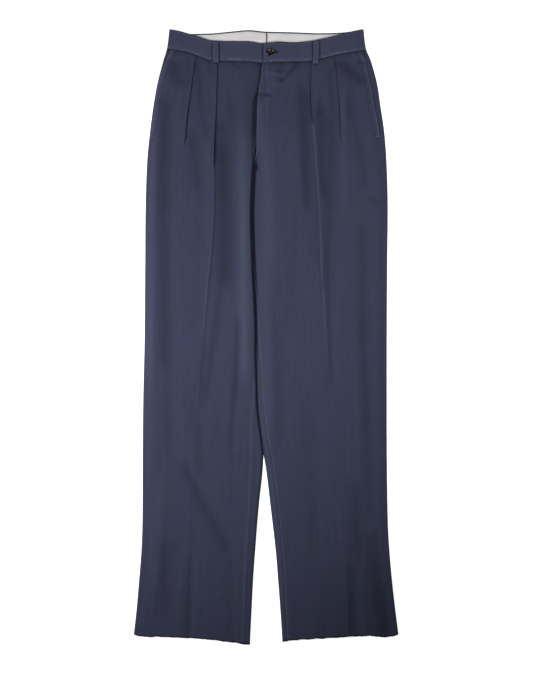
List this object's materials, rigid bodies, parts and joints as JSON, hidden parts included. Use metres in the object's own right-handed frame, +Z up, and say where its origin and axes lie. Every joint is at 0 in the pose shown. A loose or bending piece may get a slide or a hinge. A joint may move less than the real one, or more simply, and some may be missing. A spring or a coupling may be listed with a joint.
{
  "type": "chinos",
  "caption": "Wide-leg trousers with forward pleats, a buttoned waistband, belt loops, slant pockets and raw hems, laid flat with the front up.",
  "frame": {"origin": "on the surface the trousers lie on, under the middle of their bounding box", "axes": "+X to the wearer's left, +Y up the garment from the hems to the waistband, +Z up from the surface, out of the front"},
  "size_m": [0.5159, 1.1985, 0.0143],
  "materials": {
    "navy_twill": "matt twill, lightly brushed",
    "pale_curtain": "matt plain weave",
    "brown_button": "polished horn effect"
  },
  "bodies": {
    "root": {"front_panel_right": "navy_twill", "front_panel_left": "navy_twill", "back_panel_right": "navy_twill", "back_panel_left": "navy_twill", "pocket_facing_right": "navy_twill", "pocket_facing_left": "navy_twill", "waistband_front_right": "navy_twill", "waistband_front_left": "navy_twill", "waistband_back_right": "navy_twill", "waistband_back_left": "navy_twill", "waistband_curtain_right": "pale_curtain", "waistband_curtain_left": "pale_curtain", "belt_loop_front_right": "navy_twill", "belt_loop_front_left": "navy_twill", "belt_loop_side_right": "navy_twill", "belt_loop_back": "navy_twill", "belt_loop_side_left": "navy_twill", "waist_button": "brown_button"}
  },
  "joints": []
}
